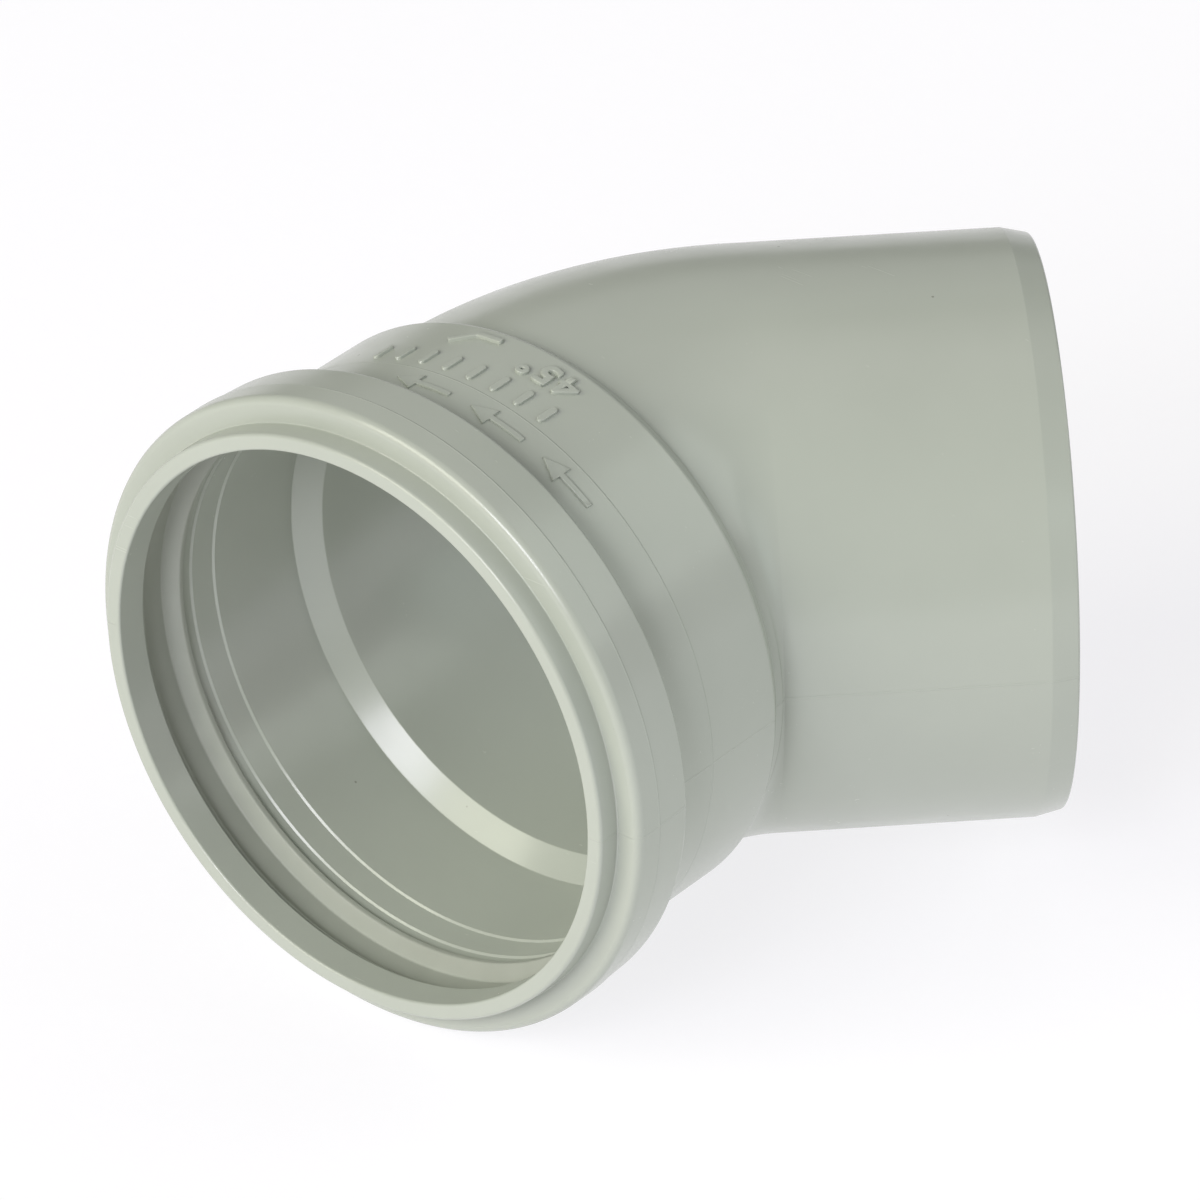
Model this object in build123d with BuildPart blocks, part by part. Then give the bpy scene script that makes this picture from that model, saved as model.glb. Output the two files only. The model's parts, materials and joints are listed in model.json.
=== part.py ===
from build123d import *

import os
from math import cos, radians, sin, tan

# 45 degree drain elbow for push-fit PVC pipe: a ring-seal socket at one end, a plain spigot at the other.
#
# The origin is the centre of the socket's mouth. The socket opens towards -Y, so a pipe goes in along +Y.
# The spigot leaves in the XY plane, turned from +Y towards +X by the bend angle. +Z is up.
# Each profile is drawn with its first coordinate as radius and its second as distance along the axis.

os.makedirs("parts", exist_ok=True)

# Pipe and bend
pipe_od = 101.6  # outside diameter of the pipe and of the spigot
wall = 3.6
bend_angle = 45.0
throat_round = 0.6  # radius left on the inner side of the bend
neck_length = 1.8  # straight outside between the shoulder and the bend
bend_draft = 0.6  # the bend is this much fuller in radius at the socket than at the spigot
spigot_length = 50.3  # straight part past the bend, lead-in included
lead_in_length = 4.8
lead_in_depth = 1.1
lead_in_round = 0.9

# Socket bore
pipe_clearance = 0.5  # radial gap between a pipe and the socket wall
lip_clearance = 0.7  # the same gap at the mouth, in front of the seal
relief_step = 0.35  # each of the two steps that steer the pipe in behind the seal
first_relief_length = 2.2  # behind the groove
second_relief_length = 5.5
socket_depth = 44.6  # from the mouth to the start of the stop
stop_length = 3.5
mouth_round = 0.5

# Seal groove and the bulge that holds it
groove_start = 6.2
groove_width = 10.3
groove_depth = 4.7  # from the socket wall
groove_round = 1.2
bulge_wall = 3.25
bulge_taper = 0.6
parting_step = 0.12  # witness step where the mould halves meet
bulge_parting_offset = 3.6  # behind the groove's front wall
bulge_front_wall = 1.9
bulge_back_wall = 1.1
bulge_back_slope = 1.2
bulge_round = 1.5
bulge_back_round = 1.3

# Collar in front of the bulge, and sleeve behind it
collar_wall = 3.15
collar_round = 0.7
sleeve_wall = 2.95
sleeve_draft = 0.25
sleeve_parting_offset = 12.3  # behind the bulge
sleeve_overrun = 2.3  # past the start of the stop
sleeve_end_round = 1.4
shoulder_length = 3.3
shoulder_round = 1.6

# Seal ring
seal_gap = 0.3  # at the floor of the groove
seal_side_gap = 0.15  # at the front wall of the groove; the back walls meet
seal_web = 1.7
seal_leg = 1.5
seal_lip = 1.35
seal_lip_clearance = 0.15  # between the pressed lip and the widest pipe gauge
seal_front_drop = 1.2  # how far the front leg stays back from the socket wall
seal_heel_round = 2.2  # rounder than the groove's corners, so that only flat walls meet
seal_round = 0.5

# Raised marks on the sleeve: rows by their distance from the mouth, columns by angle from +X towards +Z
mark_height = 0.4
mark_root = 0.8  # how far a mark reaches into the sleeve
mark_line = 1.0
figure_row_offset = 5.1  # from the middle of the figures to the sleeve's end
figure_width = 3.6
figure_height = 5.4
four_column = 73.5
five_column = 80.0
degree_column = 85.5
degree_radius = 1.2
bend_sign_column = 98.0
bend_sign_leg = 5.0
row_pitch = 8.0
pip_columns = [73.0 + 5.5 * number for number in range(8)]
pip_width = 1.3
pip_length = 4.6
arrow_row_offset = 0.2  # the arrows stand this much further from the pips
arrow_columns = [64.0, 81.0, 98.0]
arrow_length = 9.0
arrow_head = 5.0

pipe_radius = pipe_od / 2
bore_radius = pipe_radius - wall
bend_radius = pipe_radius + bend_draft + throat_round  # of the centreline
socket_radius = pipe_radius + pipe_clearance
lip_radius = pipe_radius + lip_clearance
second_relief_radius = socket_radius + relief_step
first_relief_radius = second_relief_radius + relief_step
groove_end = groove_start + groove_width
first_relief_end = groove_end + first_relief_length
second_relief_end = first_relief_end + second_relief_length
groove_radius = socket_radius + groove_depth
bulge_radius = groove_radius + bulge_wall
collar_radius = lip_radius + collar_wall
sleeve_radius = socket_radius + sleeve_wall
stop_end = socket_depth + stop_length
bulge_front = groove_start - bulge_front_wall
bulge_parting = groove_start + bulge_parting_offset
bulge_back = groove_end + bulge_back_wall
sleeve_parting = bulge_back + sleeve_parting_offset
sleeve_end = socket_depth + sleeve_overrun
bend_start = sleeve_end + shoulder_length + neck_length
figure_row = sleeve_end - figure_row_offset
pip_row = figure_row - row_pitch
arrow_row = pip_row - row_pitch - arrow_row_offset
seal_radius = groove_radius - seal_gap
mark_blank = mark_root + 2 * mark_height
half_width = (figure_width - mark_line) / 2
half_height = (figure_height - mark_line) / 2
mark_strokes = [
    (four_column, [(0, half_height), (-half_width, -half_height / 3), (half_width, -half_height / 3)]),
    (four_column, [(half_width / 3, half_height / 4), (half_width / 3, -half_height)]),
    (
        five_column,
        [
            (half_width, half_height),
            (-half_width, half_height),
            (-half_width, half_height / 5),
            (half_width / 2, half_height / 5),
            (half_width, -half_height / 5),
            (half_width, -half_height / 2),
            (half_width / 2, -half_height),
            (-half_width, -half_height),
        ],
    ),
    (
        bend_sign_column,
        [
            (-bend_sign_leg, -half_height),
            (0, -half_height),
            (bend_sign_leg * cos(radians(bend_angle)), bend_sign_leg * sin(radians(bend_angle)) - half_height),
        ],
    ),
]

tangent_length = bend_radius * tan(radians(bend_angle / 2))
spigot_direction = Vector(sin(radians(bend_angle)), cos(radians(bend_angle)), 0)
spigot_start = Vector(0, bend_start + tangent_length, 0) + spigot_direction * tangent_length
spigot_axis = Axis(spigot_start, spigot_direction)


def section(points, rounds):
    """A closed outline of (radius, distance) points, with the corners given by index rounded."""
    with BuildSketch() as outline:
        with BuildLine():
            Polyline(*points, close=True)
        make_face()
        for index, radius in rounds.items():
            fillet(outline.vertices().sort_by_distance(points[index])[0], radius)
    return outline.sketch


def mark_plane(distance, angle):
    """A plane under the sleeve's skin that faces out, with its x round the sleeve and its y to the mouth."""
    outward = Vector(cos(radians(angle)), 0, sin(radians(angle)))
    origin = outward * (sleeve_radius - mark_root) + Vector(0, distance, 0)
    return Plane(origin=origin, x_dir=Vector(0, -1, 0).cross(outward), z_dir=outward)


# Outside of the socket: collar, bulge over the seal groove, sleeve and shoulder
socket_outside = section(
    [
        (bore_radius, 0),
        (collar_radius - parting_step, 0),
        (collar_radius, bulge_front),
        (bulge_radius, bulge_front),
        (bulge_radius, bulge_parting),
        (bulge_radius - parting_step, bulge_parting),
        (bulge_radius - bulge_taper, bulge_back),
        (sleeve_radius, bulge_back + bulge_back_slope),
        (sleeve_radius, sleeve_parting),
        (sleeve_radius - parting_step, sleeve_parting),
        (sleeve_radius - sleeve_draft, sleeve_end),
        (pipe_radius + bend_draft, sleeve_end + shoulder_length),
        (pipe_radius + bend_draft, bend_start),
        (bore_radius, bend_start),
    ],
    {1: collar_round, 3: bulge_round, 6: bulge_back_round, 7: shoulder_round, 10: sleeve_end_round},
)

# Inside of the socket: mouth, seal groove, two reliefs, socket wall and the sloping stop
socket_inside = section(
    [
        (0, -wall),
        (lip_radius + mouth_round, -wall),
        (lip_radius + mouth_round, 0),
        (lip_radius, mouth_round),
        (lip_radius, groove_start),
        (groove_radius, groove_start),
        (groove_radius, groove_end),
        (first_relief_radius, groove_end),
        (first_relief_radius, first_relief_end),
        (second_relief_radius, first_relief_end + relief_step),
        (second_relief_radius, second_relief_end),
        (socket_radius, second_relief_end + relief_step),
        (socket_radius, socket_depth),
        (bore_radius, stop_end),
        (0, stop_end),
    ],
    {5: groove_round, 6: groove_round},
)

# Raised marks: the bend's angle and its sign, a row of mould pips, and a row of flow arrows
with BuildPart() as marks:
    for column, stroke in mark_strokes:
        with BuildSketch(mark_plane(figure_row, column)):
            with BuildLine():
                Polyline(*stroke)
            trace(line_width=mark_line)
        extrude(amount=mark_blank)
    with BuildSketch(mark_plane(figure_row - figure_height / 2 + degree_radius, degree_column)):
        Circle(degree_radius + mark_line / 2)
        Circle(degree_radius - mark_line / 2, mode=Mode.SUBTRACT)
    extrude(amount=mark_blank)
    for column in pip_columns:
        with BuildSketch(mark_plane(pip_row, column)):
            SlotOverall(pip_length, pip_width, rotation=90)
        extrude(amount=mark_blank)
    for column in arrow_columns:
        with BuildSketch(mark_plane(arrow_row, column)):
            Rectangle(arrow_length, mark_line, align=(Align.MAX, Align.CENTER))
            Triangle(a=arrow_head, b=arrow_head, c=arrow_head, rotation=-90)
        extrude(amount=mark_blank)

    # Level the tops to one height over the round sleeve
    with BuildSketch(Plane.XZ):
        Circle(sleeve_radius + mark_height)
    extrude(amount=-sleeve_end, mode=Mode.INTERSECT)

with BuildPart() as elbow_body:
    with BuildLine() as bend_line:
        bend = JernArc(start=(0, bend_start), tangent=(0, 1), radius=bend_radius, arc_size=-bend_angle)
    bend_entry = Plane(origin=bend @ 0, z_dir=bend % 0)
    bend_exit = Plane(origin=bend @ 1, z_dir=bend % 1)

    # Outside: the bend, the spigot and the socket
    with BuildSketch(bend_entry):
        Circle(pipe_radius + bend_draft)
    with BuildSketch(bend_exit):
        Circle(pipe_radius)
    sweep(multisection=True)
    with BuildSketch(bend_exit):
        Circle(pipe_radius)
    extrude(amount=spigot_length)
    revolve(socket_outside, axis=Axis.Y)

    # Lead-in at the spigot's end
    end_face = elbow_body.faces().sort_by(spigot_axis)[-1]
    chamfer(end_face.edges(), lead_in_depth, lead_in_length, reference=end_face)
    rims = elbow_body.edges().filter_by(GeomType.CIRCLE).sort_by(spigot_axis)
    fillet(rims[-2:], lead_in_round)

    # Raised marks
    add(marks.part)

    # Waterway and socket cavity
    with BuildSketch(bend_entry):
        Circle(bore_radius)
    sweep(path=bend, mode=Mode.SUBTRACT)
    with BuildSketch(bend_exit):
        Circle(bore_radius)
    extrude(amount=spigot_length, mode=Mode.SUBTRACT)
    with BuildSketch(bend_entry):
        Circle(bore_radius)
    extrude(amount=stop_end - bend_start, mode=Mode.SUBTRACT)
    revolve(socket_inside, axis=Axis.Y, mode=Mode.SUBTRACT)

elbow_body.part.label = "elbow_body"
export_step(elbow_body.part, "parts/elbow_body.step")

# Seal ring as it sits with its lip pressed back: a web on the groove's floor and a leg along each wall
seal_front = groove_start + seal_side_gap
seal_lip_radius = socket_radius - seal_lip_clearance
seal_front_radius = socket_radius + seal_front_drop
seal_outline = section(
    [
        (seal_radius, seal_front),
        (seal_radius, groove_end),
        (seal_lip_radius, groove_end),
        (seal_lip_radius, groove_end - seal_lip),
        (seal_radius - seal_web, groove_end - seal_leg - seal_lip),
        (seal_radius - seal_web, seal_front + seal_leg),
        (seal_front_radius, seal_front + seal_leg),
        (seal_front_radius, seal_front),
    ],
    {0: seal_heel_round, 1: seal_heel_round, 2: seal_round, 3: seal_round, 4: seal_round, 5: seal_round},
)

with BuildPart() as seal_ring:
    revolve(seal_outline, axis=Axis.Y)

seal_ring.part.label = "seal_ring"
export_step(seal_ring.part, "parts/seal_ring.step")
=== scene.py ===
# %% [markdown]
# A 45 degree push-fit pipe elbow, dressed for its picture
#
# The design model already holds the elbow's true shape, size and place. This lesson keeps those sizes and
# remodels the two pieces that show, the rigid PVC moulding and the ring that seals it, with clean rings of
# faces. A moulding is judged by its soft edges, and soft edges need an even mesh.

# %% Load the fixed frame and measure it
import json
import math

import bmesh
import bpy
from mathutils import Matrix, Vector


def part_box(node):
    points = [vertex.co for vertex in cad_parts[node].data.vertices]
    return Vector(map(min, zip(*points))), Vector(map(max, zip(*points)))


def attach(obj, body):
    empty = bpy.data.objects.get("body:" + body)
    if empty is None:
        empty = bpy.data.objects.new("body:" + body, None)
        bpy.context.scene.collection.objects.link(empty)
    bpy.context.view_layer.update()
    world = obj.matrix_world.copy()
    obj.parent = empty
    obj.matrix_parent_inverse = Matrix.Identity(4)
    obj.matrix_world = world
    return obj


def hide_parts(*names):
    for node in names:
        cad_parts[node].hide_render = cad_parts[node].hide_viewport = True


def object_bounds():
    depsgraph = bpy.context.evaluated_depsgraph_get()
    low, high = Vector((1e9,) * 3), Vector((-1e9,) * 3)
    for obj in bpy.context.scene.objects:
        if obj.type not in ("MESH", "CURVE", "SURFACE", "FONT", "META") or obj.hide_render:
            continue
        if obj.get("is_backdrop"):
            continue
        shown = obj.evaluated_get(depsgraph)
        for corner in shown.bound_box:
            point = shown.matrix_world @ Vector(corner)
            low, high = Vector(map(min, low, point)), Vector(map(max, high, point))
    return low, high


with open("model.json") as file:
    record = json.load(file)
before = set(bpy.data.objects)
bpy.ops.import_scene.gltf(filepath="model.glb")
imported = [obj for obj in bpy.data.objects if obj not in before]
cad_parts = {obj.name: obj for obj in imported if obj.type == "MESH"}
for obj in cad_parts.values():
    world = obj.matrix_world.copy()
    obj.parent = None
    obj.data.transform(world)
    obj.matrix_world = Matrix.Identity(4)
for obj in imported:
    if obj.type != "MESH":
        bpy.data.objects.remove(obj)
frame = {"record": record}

cad_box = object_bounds()
MM = 0.001
scene = bpy.context.scene
body_low, body_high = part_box("elbow_body")
print("elbow box in mm:", [round(v / MM, 1) for v in (*body_low, *body_high)])

# %% [markdown]
# Sizes come first, in millimetres. Most are a radius about the axis of the socket or the spigot, or a
# distance from the socket's mouth, and the others are lengths, walls and small steps. The mounts in the
# design's record give the bore and the spigot, so the fits are read from there.

# %% Sizes of the moulding
mounts = {mount["name"]: mount for mount in frame["record"]["mounts"]}
PIPE = mounts["spigot"]["dims"]["r_mm"]
SOCKET = mounts["socket"]["dims"]["r_mm"]
WALL = 3.6
BORE = PIPE - WALL
LIP = PIPE + 0.7
LIP_TOP = LIP + 0.9
COLLAR = LIP + 3.15
GROOVE = SOCKET + 4.7
BULGE = GROOVE + 3.25
SLEEVE = SOCKET + 2.95
COLLAR_END = 4.3
BULGE_LINE = 9.8
BULGE_END = 17.6
SLEEVE_START = 18.8
SLEEVE_LINE = 29.9
SLEEVE_END = 46.9
GROOVE_FRONT = 6.2
GROOVE_BACK = 16.5
RELIEF = 0.35
FIRST_RELIEF_END = 24.2
SECOND_RELIEF_END = 18.7
STOP = 44.6
STOP_END = 48.1
WITNESS = 0.12
WITNESS_LENGTH = 0.05
BEND_START = 52.0
BEND_RADIUS = 52.0
BEND_ANGLE = math.radians(45)
BEND_DRAFT = 0.6
SPIGOT_LENGTH = 50.3
LEAD_IN_LENGTH = 4.8
LEAD_IN_DEPTH = 1.1
print("radii in mm: bore", BORE, "socket", SOCKET, "spigot", PIPE, "groove", GROOVE, "bulge", BULGE)

# %% [markdown]
# A section of the moulding is a line of corners. The mould maker rounds nearly all of them, because a sharp
# inner corner is hard to cut in steel and sharp plastic edges chip. The helper below swaps a corner for a
# short arc. A bevel modifier could do it too, but here each corner has its own radius, and one list shows
# them all.

# %% A section line with rounded corners
ARC_STEPS = 5


def rounded(corners):
    """Points along a line of (radius, distance, round) corners, with an arc at each rounded one."""
    points = []
    for index, (r, y, size) in enumerate(corners):
        here = Vector((r, y))
        if not size:
            points.append(here)
            continue
        before = (Vector(corners[index - 1][:2]) - here).normalized()
        after = (Vector(corners[index + 1][:2]) - here).normalized()
        half = before.angle(after) / 2
        centre = here + (before + after).normalized() * (size / math.sin(half))
        first = here + before * (size / math.tan(half)) - centre
        last = here + after * (size / math.tan(half)) - centre
        turn = first.angle(last)
        for step in range(ARC_STEPS + 1):
            share = step / ARC_STEPS
            arm = first * math.sin((1 - share) * turn) + last * math.sin(share * turn)
            points.append(centre + arm / math.sin(turn))
    return points


outside = rounded([
    (LIP_TOP, 0, 0),
    (COLLAR - WITNESS, 0, 0.7),
    (COLLAR, COLLAR_END, 0.25),
    (BULGE, COLLAR_END, 1.5),
    (BULGE, BULGE_LINE, 0.04),
    (BULGE - WITNESS, BULGE_LINE + WITNESS_LENGTH, 0.04),
    (BULGE - 0.6, BULGE_END, 0.9),
    (SLEEVE, SLEEVE_START, 0.7),
    (SLEEVE, SLEEVE_LINE, 0.04),
    (SLEEVE - WITNESS, SLEEVE_LINE + WITNESS_LENGTH, 0.04),
    (SLEEVE - 0.25, SLEEVE_END, 1.4),
    (PIPE + BEND_DRAFT, SLEEVE_END + 3.3, 0.8),
    (PIPE + BEND_DRAFT, BEND_START, 0),
])
spigot_rim = rounded([
    (PIPE, 0, 0),
    (PIPE, SPIGOT_LENGTH - LEAD_IN_LENGTH, 1.0),
    (PIPE - LEAD_IN_DEPTH, SPIGOT_LENGTH, 0.6),
    (BORE, SPIGOT_LENGTH, 0.3),
    (BORE, 0, 0),
])
inside = rounded([
    (BORE, BEND_START, 0),
    (BORE, STOP_END, 0.35),
    (SOCKET, STOP, 0.35),
    (SOCKET, FIRST_RELIEF_END + RELIEF, 0.08),
    (SOCKET + RELIEF, FIRST_RELIEF_END, 0.08),
    (SOCKET + RELIEF, SECOND_RELIEF_END + RELIEF, 0.08),
    (SOCKET + 2 * RELIEF, SECOND_RELIEF_END, 0.08),
    (SOCKET + 2 * RELIEF, GROOVE_BACK, 0.3),
    (GROOVE, GROOVE_BACK, 1.2),
    (GROOVE, GROOVE_FRONT, 1.2),
    (LIP, GROOVE_FRONT, 0.15),
    (LIP, 0, 0.5),
    (LIP_TOP, 0, 0),
])
print(len(outside), "points outside,", len(spigot_rim), "round the rim,", len(inside), "inside")

# %% [markdown]
# The moulding is one endless skin: from the mouth along the outside, round the bend to the spigot, over its
# rim and back through the waterway. Two pipes and a boolean would leave slivers at the joint. Instead a
# ring of edges is extruded again and again, and each new ring is moved to its place, the way a core is
# drawn along a path. The bend then has long even quads, and a bridge closes the last ring to the first.
#
# Each point also remembers whether it is on the outer skin. The finish uses that later, because the line
# where the mould's halves meet is only on the outside.

# %% Ring by ring: the moulding
RING_POINTS = 256
BEND_STEPS = 40


def new_object(name, bm):
    """Turn a finished bmesh into a smooth object with its faces pointing out."""
    bmesh.ops.recalc_face_normals(bm, faces=bm.faces)
    for face in bm.faces:
        face.smooth = True
    mesh = bpy.data.meshes.new(name)
    bm.to_mesh(mesh)
    bm.free()
    piece = bpy.data.objects.new(name, mesh)
    scene.collection.objects.link(piece)
    return piece


def even_shading(piece):
    """Let the large faces set the shading, so that flats stay flat beside small rounds."""
    shading = piece.modifiers.new("even_shading", "WEIGHTED_NORMAL")
    shading.mode = "FACE_AREA"


def socket_ring(point):
    """The place of a ring on the socket's axis, from its (radius, distance) point."""
    return Matrix.Translation((0, point.y * MM, 0)) @ Matrix.Scale(point.x * MM, 4)


def bend_ring(share, radius, past=0):
    """The place of a ring at a share of the bend, or a distance past its end."""
    return (
        Matrix.Translation((BEND_RADIUS * MM, BEND_START * MM, 0))
        @ Matrix.Rotation(-share * BEND_ANGLE, 4, "Z")
        @ Matrix.Translation((-BEND_RADIUS * MM, past * MM, 0))
        @ Matrix.Scale(radius * MM, 4)
    )


shares = [step / BEND_STEPS for step in range(1, BEND_STEPS + 1)]
outer_rings = [socket_ring(p) for p in outside]
outer_rings += [bend_ring(share, PIPE + BEND_DRAFT * (1 - share)) for share in shares]
outer_rings += [bend_ring(1, p.x, past=p.y) for p in spigot_rim[1:-1]]
inner_rings = [bend_ring(share, BORE) for share in reversed(shares)]
inner_rings += [socket_ring(p) for p in inside[:-1]]

bm = bmesh.new()
outer_skin = bm.verts.layers.float.new("outer_skin")
bmesh.ops.create_circle(bm, segments=RING_POINTS, radius=1.0)
bmesh.ops.rotate(bm, verts=bm.verts, matrix=Matrix.Rotation(math.radians(90), 3, "X"))
bmesh.ops.transform(bm, matrix=outer_rings[0], verts=bm.verts)
for vert in bm.verts:
    vert[outer_skin] = 1.0
mouth_edges = list(bm.edges)
edges, last = mouth_edges, outer_rings[0]
skins = [(1.0, target) for target in outer_rings[1:]] + [(0.0, target) for target in inner_rings]
for outer, target in skins:
    made = bmesh.ops.extrude_edge_only(bm, edges=edges)["geom"]
    ring = [item for item in made if isinstance(item, bmesh.types.BMVert)]
    bmesh.ops.transform(bm, matrix=target @ last.inverted(), verts=ring)
    for vert in ring:
        vert[outer_skin] = outer
    edges = [item for item in made if isinstance(item, bmesh.types.BMEdge)]
    last = target
bmesh.ops.bridge_loops(bm, edges=edges + mouth_edges)
moulding = new_object("pvc_moulding", bm)
even_shading(moulding)
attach(moulding, "root")
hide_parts("elbow_body")
print("moulding:", len(moulding.data.polygons), "faces in", len(skins) + 1, "rings")

# %% [markdown]
# The seal is the same section all round, so it is spun, as a potter would turn it. It is shown as it sits
# with a pipe in place: a web on the groove's floor, a short leg in front, and behind it the sloping lip
# that presses on the pipe.

# %% The seal ring
SEAL_BACK = GROOVE - 0.3
SEAL_FRONT = GROOVE_FRONT + 0.15
SEAL_WEB = SEAL_BACK - 1.7
SEAL_LIP = SOCKET - 0.15
SEAL_LEG = SOCKET + 1.2
SEAL_SEAM = 10.0
section = rounded([
    (SEAL_BACK, SEAL_SEAM, 0),
    (SEAL_BACK, GROOVE_BACK, 2.2),
    (SEAL_LIP, GROOVE_BACK, 0.5),
    (SEAL_LIP, GROOVE_BACK - 1.35, 0.5),
    (SEAL_WEB, GROOVE_BACK - 2.85, 0.5),
    (SEAL_WEB, SEAL_FRONT + 1.5, 0.5),
    (SEAL_LEG, SEAL_FRONT + 1.5, 0.4),
    (SEAL_LEG, SEAL_FRONT, 0.3),
    (SEAL_BACK, SEAL_FRONT, 2.2),
    (SEAL_BACK, SEAL_SEAM, 0),
])[:-1]
bm = bmesh.new()
corners = [bm.verts.new((p.x * MM, p.y * MM, 0)) for p in section]
outline = [bm.edges.new(pair) for pair in zip(corners, corners[1:] + corners[:1])]
bmesh.ops.spin(
    bm, geom=corners + outline, axis=(0, 1, 0), angle=2 * math.pi, steps=RING_POINTS, use_merge=True
)
seal = new_object("sealing_ring", bm)
even_shading(seal)
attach(seal, "root")
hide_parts("seal_ring")
print("seal:", len(seal.data.polygons), "faces")

# %% [markdown]
# The raised marks are engraved in the mould, so they stand proud of the part, with soft edges that catch a
# thin line of light. They are drawn as flat filled curves in millimetres. A curve's own extrude and bevel
# give the thickness and the soft edge, which grows outwards from the flat top that is drawn.
# Then the mesh is cut into narrow strips and wrapped round the sleeve: a point's sideways place becomes an
# angle, and its height becomes extra radius. All the marks are generic: the bend's angle and its sign,
# mould pips and arrows.

# %% Helpers for the raised marks
MARK_RISE = 0.4
MARK_SINK = 0.5
MARK_EDGE = 0.16
STRIP = 1.0
WELD = 0.001


def flat_outline(name, points):
    """A flat curve closed round a list of (x, y) points in millimetres."""
    curve = bpy.data.curves.new(name, "CURVE")
    curve.dimensions = "2D"
    spline = curve.splines.new("POLY")
    spline.points.add(len(points) - 1)
    for point, (x, y) in zip(spline.points, points):
        point.co = (x, y, 0, 1)
    spline.use_cyclic_u = True
    return curve


def emboss(marks, curve, row, column):
    """Thicken a flat curve, wrap it round the sleeve at a row in mm and a column in degrees, and keep it."""
    curve.fill_mode = "BOTH"
    curve.bevel_depth = MARK_EDGE
    curve.bevel_resolution = 2
    curve.extrude = (MARK_RISE + MARK_SINK) / 2 - MARK_EDGE
    mesh = bpy.data.meshes.new_from_object(bpy.data.objects.new(curve.name, curve))
    mark = bmesh.new()
    mark.from_mesh(mesh)
    bmesh.ops.remove_doubles(mark, verts=mark.verts, dist=WELD)
    reach = max(abs(vert.co.x) for vert in mark.verts)
    for step in range(-int(reach / STRIP), int(reach / STRIP) + 1):
        geom = mark.verts[:] + mark.edges[:] + mark.faces[:]
        bmesh.ops.bisect_plane(mark, geom=geom, plane_co=(step * STRIP, 0, 0), plane_no=(1, 0, 0))
    for vert in mark.verts:
        angle = math.radians(column) + vert.co.x / SLEEVE
        radius = (SLEEVE + vert.co.z + (MARK_RISE - MARK_SINK) / 2) * MM
        vert.co = (radius * math.cos(angle), (row - vert.co.y) * MM, radius * math.sin(angle))
    mark.to_mesh(mesh)
    mark.free()
    marks.from_mesh(mesh)


# %% [markdown]
# The marks stand in three rows round the sleeve, and each row is a distance from the mouth. Each mark is
# drawn flat about a point of its own, then embossed with that point at its column, which is an angle round
# the socket's axis. The bend's angle is real text, which keeps its outline smooth. The bend sign, the pips
# and the arrows are lists of points, worked out from a few lengths.

# %% Figures, bend sign, pips and arrows
FIGURE_ROW, PIP_ROW, ARROW_ROW = 41.8, 33.8, 25.6
FIGURE_COLUMN, SIGN_COLUMN = 79.5, 98.0
SIGN_OFFSET = 2.2
FIRST_PIP_COLUMN, PIP_PITCH, PIP_COUNT = 73.0, 5.5, 8
ARROW_COLUMNS = (64.0, 81.0, 98.0)
STROKE = 0.85
FIGURE_SIZE = 7.2

marks = bmesh.new()
angle_text = bpy.data.curves.new("bend_angle", "FONT")
angle_text.body = "45°"
angle_text.size = FIGURE_SIZE
angle_text.space_character = 1.2
angle_text.offset = 0.12
angle_text.align_x = "CENTER"
angle_text.align_y = "CENTER"
emboss(marks, angle_text, FIGURE_ROW, FIGURE_COLUMN)

leg, half, mitre = 5.0, STROKE / 2, STROKE / 2 * math.tan(BEND_ANGLE / 2)
run, rise = leg * math.cos(BEND_ANGLE), leg * math.sin(BEND_ANGLE)
side, lift = half * math.sin(BEND_ANGLE), half * math.cos(BEND_ANGLE)
bend_sign = flat_outline("bend_sign", [
    (-leg, -half),
    (mitre, -half),
    (run + side, rise - lift),
    (run - side, rise + lift),
    (-mitre, half),
    (-leg, half),
])
emboss(marks, bend_sign, FIGURE_ROW + SIGN_OFFSET, SIGN_COLUMN)

PIP_LENGTH, PIP_WIDTH, PIP_TURNS = 4.4, 1.0, 6
pip_points = []
for end in (1, -1):
    for step in range(PIP_TURNS + 1):
        turn = math.pi * step / PIP_TURNS
        across = end * PIP_WIDTH / 2 * math.cos(turn)
        along = end * ((PIP_LENGTH - PIP_WIDTH) / 2 + PIP_WIDTH / 2 * math.sin(turn))
        pip_points.append((across, along))
for number in range(PIP_COUNT):
    pip = flat_outline(f"pip_{number + 1}", pip_points)
    emboss(marks, pip, PIP_ROW, FIRST_PIP_COLUMN + PIP_PITCH * number)

shaft, barb, tip = 9.0, 2.1, 2.0
arrow_points = [
    (-shaft, -half), (-tip, -half), (-tip, -barb), (tip, 0), (-tip, barb), (-tip, half), (-shaft, half)
]
for number, column in enumerate(ARROW_COLUMNS):
    emboss(marks, flat_outline(f"arrow_{number + 1}", arrow_points), ARROW_ROW, column)

raised_marks = new_object("raised_marks", marks)
even_shading(raised_marks)
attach(raised_marks, "root")
print("marks:", len(raised_marks.data.polygons), "faces")

# %% [markdown]
# A finish in Blender is a small tree of nodes. The helper below adds one node with its settings and its
# links, so each material reads as a list of what is on the surface. Colours are written as sRGB hex, the
# way a paint chart gives them, and one function turns them to the linear values that shaders take. A
# pattern's scale is one over its size in metres, so sizes are written in millimetres.

# %% Helpers for the finishes
def linear(hex_colour):
    """An sRGB hex colour as linear values with full alpha."""
    values = [int(hex_colour[start:start + 2], 16) / 255 for start in (1, 3, 5)]
    return [v / 12.92 if v <= 0.04045 else ((v + 0.055) / 1.055) ** 2.4 for v in values] + [1.0]


def per(size):
    """The scale of a pattern whose features are about this many millimetres across."""
    return 1 / (size * MM)


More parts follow.
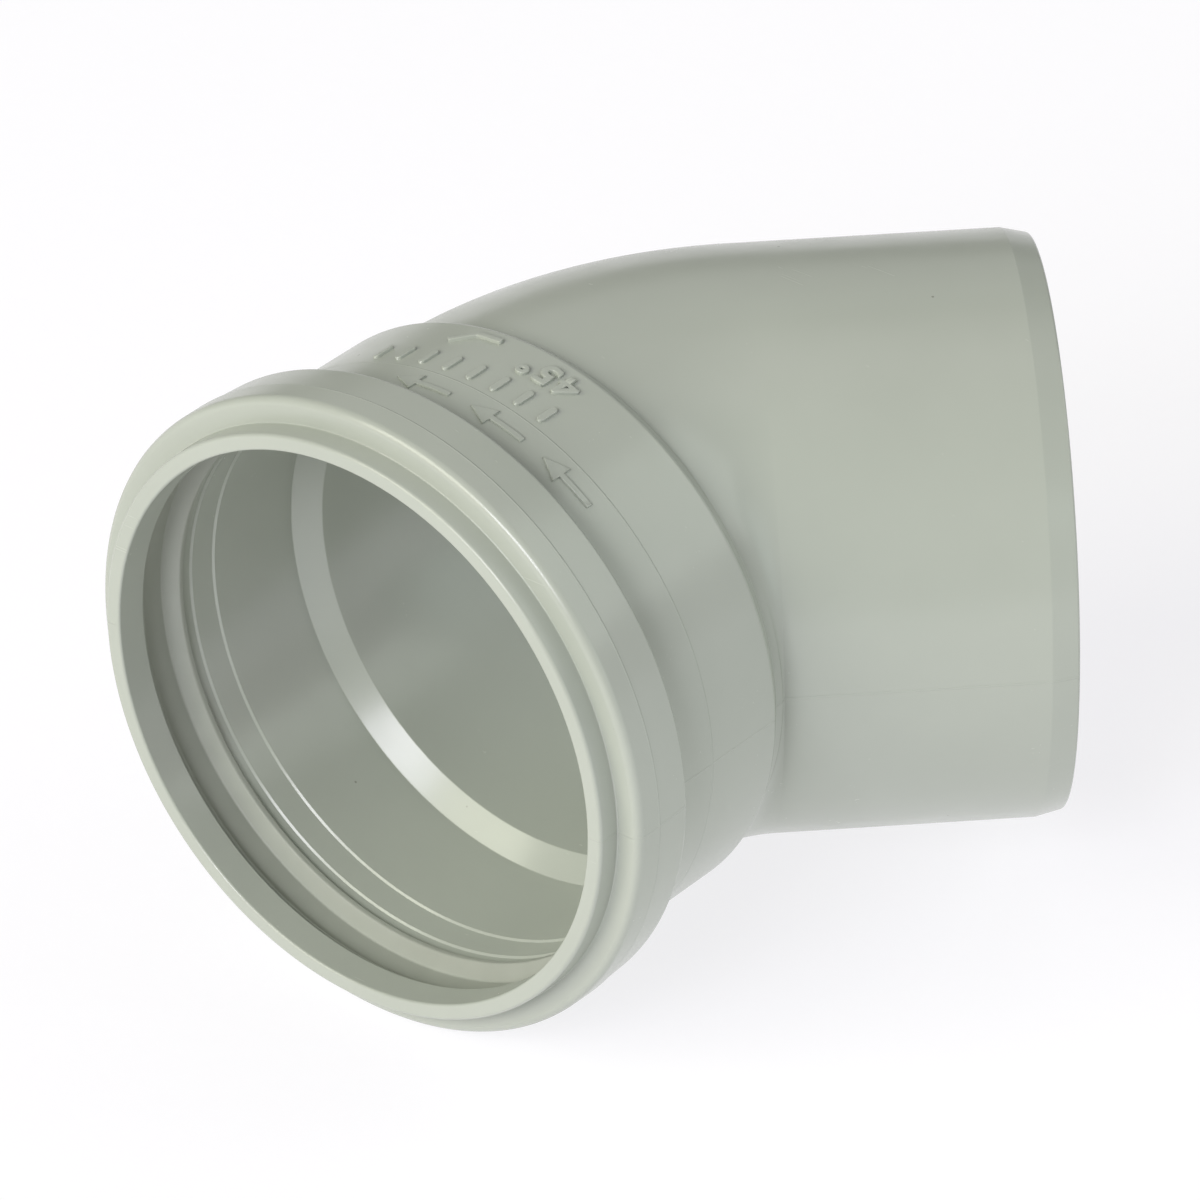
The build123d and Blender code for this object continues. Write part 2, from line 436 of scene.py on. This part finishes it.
def add_node(tree, kind, links, **settings):
    """Add one node. Settings are its properties, and links give its inputs a value or another's output."""
    node = tree.nodes.new(kind)
    for name, value in settings.items():
        setattr(node, name, value)
    for name, value in links.items():
        if isinstance(value, bpy.types.NodeSocket):
            tree.links.new(value, node.inputs[name])
        else:
            node.inputs[name].default_value = value
    return node


def new_finish(name):
    """A material with its node tree and its one shader."""
    material = bpy.data.materials.new(name)
    material.use_nodes = True
    return material, material.node_tree, material.node_tree.nodes["Principled BSDF"]


# %% [markdown]
# Rigid PVC, injection moulded and pigmented grey. The mould's steel is polished, so the skin is smooth and
# half glossy: soft boxes show in it as patches with blurred edges. Close up it is not perfect. The pigment
# is a little cloudy, the skin has a shallow ripple from cooling, handling leaves fine dull scuffs, and a
# few dark specks of scorched plastic are frozen in. PVC's index of refraction is about 1.53.
#
# A Mix node has sockets for numbers, for vectors and for colours, under the same names. The colour sockets
# are therefore taken by their index: 6 and 7 go in, and 2 comes out.

# %% Moulded rigid PVC: colour
COLOUR_A, COLOUR_B, COLOUR_OUT = 6, 7, 2
PVC_IOR = 1.53

pvc, tree, shader = new_finish("moulded_rigid_pvc")
place = add_node(tree, "ShaderNodeTexCoord", {}).outputs["Object"]
cloud = add_node(tree, "ShaderNodeTexNoise", {"Vector": place, "Scale": per(38), "Detail": 4.0})
tint = add_node(tree, "ShaderNodeMix", {
    "Factor": cloud.outputs["Fac"], COLOUR_A: linear("#a6aba1"), COLOUR_B: linear("#b1b6ac"),
}, data_type="RGBA")
speck_field = add_node(tree, "ShaderNodeTexVoronoi", {"Vector": place, "Scale": per(13)})
speck = add_node(tree, "ShaderNodeMapRange", {
    "Value": speck_field.outputs["Distance"],
    "From Min": 0.012, "From Max": 0.024, "To Min": 0.55, "To Max": 0.0,
})
specked = add_node(tree, "ShaderNodeMix", {
    "Factor": speck.outputs["Result"], COLOUR_A: tint.outputs[COLOUR_OUT], COLOUR_B: linear("#5c5a50"),
}, data_type="RGBA")
tree.links.new(specked.outputs[COLOUR_OUT], shader.inputs["Base Color"])
shader.inputs["IOR"].default_value = PVC_IOR
print("PVC colour has", len(tree.nodes), "nodes")

# %% [markdown]
# Roughness decides how blurred the soft boxes look in the skin. Polished steel leaves about 0.2, and the
# scuffs are duller. Scuffs are long and thin, so their noise is stretched: a Mapping node shrinks the
# pattern across the scuff far more than along it, after turning it a little off the pipe's axis.

# %% Moulded rigid PVC: gloss and scuffs
SCUFF_LENGTH, SCUFF_WIDTH = 26, 0.5

sheen = add_node(tree, "ShaderNodeTexNoise", {"Vector": place, "Scale": per(9), "Detail": 2.0})
gloss = add_node(tree, "ShaderNodeMapRange", {
    "Value": sheen.outputs["Fac"], "From Min": 0.3, "From Max": 0.7, "To Min": 0.2, "To Max": 0.26,
})
scuff_place = add_node(tree, "ShaderNodeMapping", {
    "Vector": place, "Rotation": (0.25, 0.1, 0.6),
    "Scale": (per(SCUFF_LENGTH), per(SCUFF_WIDTH), per(SCUFF_WIDTH)),
}, vector_type="POINT")
scuff_noise = add_node(tree, "ShaderNodeTexNoise", {
    "Vector": scuff_place.outputs["Vector"], "Scale": 1.0, "Detail": 1.0,
})
scuff = add_node(tree, "ShaderNodeMapRange", {
    "Value": scuff_noise.outputs["Fac"], "From Min": 0.66, "From Max": 0.82, "To Min": 0.0, "To Max": 0.035,
})
roughness = add_node(tree, "ShaderNodeMath", {0: gloss.outputs["Result"], 1: scuff.outputs["Result"]})
tree.links.new(roughness.outputs["Value"], shader.inputs["Roughness"])
print("PVC gloss brings it to", len(tree.nodes), "nodes")

# %% [markdown]
# The relief is worked out in millimetres and added up: a broad shallow ripple left by shrinkage, a fine
# texture, and three fine lines where the mould's parts close. One runs along the part in the plane of the
# bend, and two run round it, on the bulge and on the sleeve. Each line has an axis, the place of its plane
# on that axis and a height, and is found from the distance to the plane. All are kept to the outer skin.
# The bump node turns the sum into shading. Relief this low would need millions of faces as real geometry.

# %% Moulded rigid PVC: relief
LINE_HALF_WIDTH = 0.12
LINE_FADE = 0.16
RIPPLE_HEIGHT = 0.035
GRAIN_HEIGHT = 0.004
MOULD_LINES = (("Z", 0.0, 0.045), ("Y", BULGE_LINE, 0.035), ("Y", SLEEVE_LINE, 0.035))

split = add_node(tree, "ShaderNodeSeparateXYZ", {"Vector": place})
skin = add_node(tree, "ShaderNodeAttribute", {}, attribute_name="outer_skin")
lines = None
for axis, plane, height in MOULD_LINES:
    off_plane = add_node(tree, "ShaderNodeMath", {
        0: split.outputs[axis], 1: plane * MM,
    }, operation="SUBTRACT")
    distance = add_node(tree, "ShaderNodeMath", {0: off_plane.outputs["Value"]}, operation="ABSOLUTE")
    line = add_node(tree, "ShaderNodeMapRange", {
        "Value": distance.outputs["Value"],
        "From Min": LINE_HALF_WIDTH * MM, "From Max": (LINE_HALF_WIDTH + LINE_FADE) * MM,
        "To Min": height, "To Max": 0.0,
    }, interpolation_type="SMOOTHSTEP").outputs["Result"]
    if lines:
        line = add_node(tree, "ShaderNodeMath", {0: lines, 1: line}, operation="MAXIMUM").outputs["Value"]
    lines = line
outer_line = add_node(tree, "ShaderNodeMath", {0: lines, 1: skin.outputs["Fac"]}, operation="MULTIPLY")
ripple = add_node(tree, "ShaderNodeTexNoise", {"Vector": place, "Scale": per(11), "Detail": 1.0})
relief = add_node(tree, "ShaderNodeMath", {
    0: ripple.outputs["Fac"], 1: RIPPLE_HEIGHT, 2: outer_line.outputs["Value"],
}, operation="MULTIPLY_ADD")
grain = add_node(tree, "ShaderNodeTexNoise", {"Vector": place, "Scale": per(0.9), "Detail": 2.0})
relief = add_node(tree, "ShaderNodeMath", {
    0: grain.outputs["Fac"], 1: GRAIN_HEIGHT, 2: relief.outputs["Value"],
}, operation="MULTIPLY_ADD")
bump = add_node(tree, "ShaderNodeBump", {"Height": relief.outputs["Value"], "Distance": MM})
tree.links.new(bump.outputs["Normal"], shader.inputs["Normal"])
for piece in (moulding, raised_marks):
    piece.data.materials.append(pvc)
print("PVC finish has", len(tree.nodes), "nodes in all")

# %% [markdown]
# The seal is a moulded elastomer, a nitrile rubber in a grey near the pipe's own. Rubber is duller than
# PVC, with a fine dry texture from its mould and a faint bloom, the pale dust that works out of it.

# %% Moulded elastomer
rubber, tree, shader = new_finish("moulded_nitrile_rubber")
place = add_node(tree, "ShaderNodeTexCoord", {}).outputs["Object"]
bloom = add_node(tree, "ShaderNodeTexNoise", {"Vector": place, "Scale": per(6), "Detail": 5.0})
tint = add_node(tree, "ShaderNodeMix", {
    "Factor": bloom.outputs["Fac"], COLOUR_A: linear("#9a9e94"), COLOUR_B: linear("#a6aaa0"),
}, data_type="RGBA")
tree.links.new(tint.outputs[COLOUR_OUT], shader.inputs["Base Color"])
dry = add_node(tree, "ShaderNodeMapRange", {
    "Value": bloom.outputs["Fac"], "From Min": 0.3, "From Max": 0.7, "To Min": 0.42, "To Max": 0.58,
})
tree.links.new(dry.outputs["Result"], shader.inputs["Roughness"])
pores = add_node(tree, "ShaderNodeTexNoise", {"Vector": place, "Scale": per(0.5), "Detail": 2.0})
bump = add_node(tree, "ShaderNodeBump", {
    "Height": pores.outputs["Fac"], "Strength": 0.6, "Distance": 0.02 * MM,
})
tree.links.new(bump.outputs["Normal"], shader.inputs["Normal"])
seal.data.materials.append(rubber)
print("rubber finish has", len(tree.nodes), "nodes")

# %% [markdown]
# The floor is one large sheet of white paper at the height of the moulding's lowest point. Most of its
# brightness is its own light, so that it stays white round the part and only a faint shadow grounds it. Far
# out its edges rise by a few degrees, so that a view from near the floor meets paper and not the darker
# surround. It is marked as stage, so it isn't taken for a part of the elbow.

# %% Floor
FLOOR_REACH = 3.0
EDGE_SPREAD = 2
EDGE_RISE = 0.3
PAPER_GLOW = 0.76

paper, tree, shader = new_finish("white_paper_floor")
fibre = add_node(tree, "ShaderNodeTexNoise", {
    "Vector": add_node(tree, "ShaderNodeTexCoord", {}).outputs["Object"], "Scale": per(3),
})
white = add_node(tree, "ShaderNodeMix", {
    "Factor": fibre.outputs["Fac"], COLOUR_A: linear("#929292"), COLOUR_B: linear("#959595"),
}, data_type="RGBA")
tree.links.new(white.outputs[COLOUR_OUT], shader.inputs["Base Color"])
shader.inputs["Roughness"].default_value = 0.9
shader.inputs["Specular IOR Level"].default_value = 0.0
shader.inputs["Emission Color"].default_value = (0.98, 0.97, 1.0, 1.0)
shader.inputs["Emission Strength"].default_value = PAPER_GLOW
bm = bmesh.new()
bmesh.ops.create_grid(bm, x_segments=1, y_segments=1, size=FLOOR_REACH)
rim = bmesh.ops.extrude_edge_only(bm, edges=bm.edges[:])["geom"]
rim_points = [item for item in rim if isinstance(item, bmesh.types.BMVert)]
bmesh.ops.scale(bm, verts=rim_points, vec=(EDGE_SPREAD, EDGE_SPREAD, 1))
bmesh.ops.translate(bm, verts=rim_points, vec=(0, 0, EDGE_RISE))
bmesh.ops.translate(bm, verts=bm.verts, vec=(0, 0, body_low.z))
floor = new_object("floor_sheet", bm)
floor.data.materials.append(paper)
floor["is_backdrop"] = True
print("floor at", round(body_low.z / MM, 2), "mm")

# %% [markdown]
# Glossy plastic shows its lights, so the lights are large soft boxes. The key stands in front of the
# socket's mouth and shines into it: it gives the sloping stop its bright patch. A warmer, broader box stands
# to its left. Weaker ones low in front, to the right, behind and overhead keep the spigot and the far edges
# from going dark, and a dim white surround fills the rest. Each box is placed round a point in the waterway,
# by its azimuth from the mouth's direction and its height in degrees. Its size in metres, its power in watts
# and its colour follow.

# %% Light
BOX_DISTANCE = 2.6
AIM_SHARE = 0.75
SURROUND_STRENGTH = 0.2
aim = Vector((0, (body_low.y + body_high.y) / 2, 0)) * AIM_SHARE

soft_boxes = {
    "key": (14, 30, 1.0, 36.5, (0.94, 0.93, 1.0)),
    "warm_fill": (-20, 35, 1.5, 34.4, (0.99, 1.0, 0.83)),
    "low_fill": (-20, 8, 1.5, 4.5, (1.0, 0.7, 0.5)),
    "right": (100, 20, 1.5, 6.0, (0.85, 1.0, 0.95)),
    "back_right": (140, 35, 1.5, 11.0, (0.94, 1.0, 0.92)),
    "low_back_right": (140, 8, 1.5, 3.3, (1.0, 0.88, 0.95)),
    "back_left": (-140, 35, 1.5, 2.6, (0.96, 0.96, 1.0)),
    "high_back": (180, 65, 1.5, 2.7, (1.0, 0.88, 0.95)),
    "overhead": (0, 90, 1.6, 1.5, (1.0, 0.85, 1.0)),
}
for name, (azimuth, height, size, power, colour) in soft_boxes.items():
    around, above = math.radians(azimuth), math.radians(height)
    away = Vector((math.sin(around) * math.cos(above), -math.cos(around) * math.cos(above), math.sin(above)))
    lamp = bpy.data.lights.new(name, "AREA")
    lamp.size = size
    lamp.energy = power
    lamp.color = colour
    box = bpy.data.objects.new(name, lamp)
    box.location = aim + away * BOX_DISTANCE
    box.rotation_euler = (-away).to_track_quat("-Z", "Y").to_euler()
    scene.collection.objects.link(box)

surround = bpy.data.worlds.new("dim_white_surround")
surround.use_nodes = True
surround.node_tree.nodes["Background"].inputs["Color"].default_value = (1, 1, 1, 1)
surround.node_tree.nodes["Background"].inputs["Strength"].default_value = SURROUND_STRENGTH
scene.world = surround
scene.view_settings.view_transform = "Standard"
print(len(soft_boxes), "soft boxes")

# %% [markdown]
# The camera is far away with a long lens, so the circles of the mouth and the spigot keep nearly their true
# proportions. It looks down into the socket from its right. Its turn is built from three square
# directions, and a small roll levels it as the part is shown.

# %% Camera
VIEW_AROUND, VIEW_ABOVE, VIEW_ROLL = (math.radians(angle) for angle in (39.898, 32.721, -0.754))
VIEW_DISTANCE = 2.14126
LENS_LENGTH = 374.895
VIEW_CENTRE = Vector((1.199, 64.482, -6.043)) * MM

back = Vector((
    math.sin(VIEW_AROUND) * math.cos(VIEW_ABOVE),
    -math.cos(VIEW_AROUND) * math.cos(VIEW_ABOVE),
    math.sin(VIEW_ABOVE),
))
right = Vector((0, 0, 1)).cross(back).normalized()
turn = Matrix((right, back.cross(right), back)).transposed().to_4x4()
lens = bpy.data.cameras.new("long_lens")
lens.lens = LENS_LENGTH
lens.sensor_width = 36.0
lens.clip_end = 100.0
camera = bpy.data.objects.new("camera", lens)
camera.matrix_world = (
    Matrix.Translation(VIEW_CENTRE + back * VIEW_DISTANCE) @ turn @ Matrix.Rotation(VIEW_ROLL, 4, "Z")
)
scene.collection.objects.link(camera)
scene.camera = camera
print("camera at", [round(v, 3) for v in camera.matrix_world.translation])

# %% [markdown]
# Last, the corners of the design's box and of the dressed model's box are compared, and how far each corner
# moved is printed in millimetres.

# %% Compare the sizes and finish
visual_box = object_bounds()
for name, cad_corner, visual_corner in zip(("low", "high"), cad_box, visual_box):
    moved = [round((b - a) / MM, 2) for a, b in zip(cad_corner, visual_corner)]
    print(name, "corner moved by, in mm:", moved)
